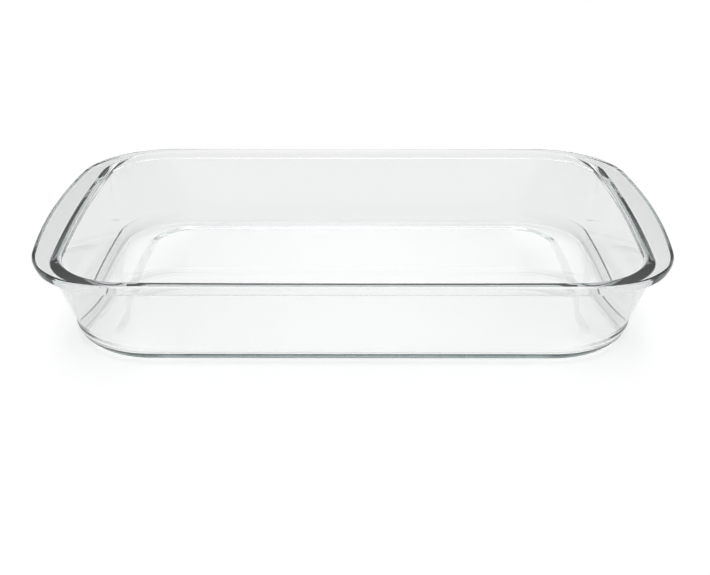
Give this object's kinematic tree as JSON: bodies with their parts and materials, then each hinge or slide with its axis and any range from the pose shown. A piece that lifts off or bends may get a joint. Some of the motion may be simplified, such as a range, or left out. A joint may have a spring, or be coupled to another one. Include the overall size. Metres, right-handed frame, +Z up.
{
  "type": "lasagna dish",
  "caption": "Open rectangular baking dish of clear pressed glass, with rounded corners, sloping walls, a thick rounded rim and a flat handle at each end.",
  "frame": {"origin": "middle of the underside, on the surface that the dish stands on", "axes": "+X along the dish from handle to handle, +Y across it, +Z up out of its mouth"},
  "size_m": [0.4, 0.246, 0.055],
  "materials": {
    "clear_glass": "clear pressed soda-lime glass with a faint green-grey tint, smooth and polished on every face"
  },
  "bodies": {
    "root": {"glass_dish": "clear_glass"}
  },
  "joints": []
}
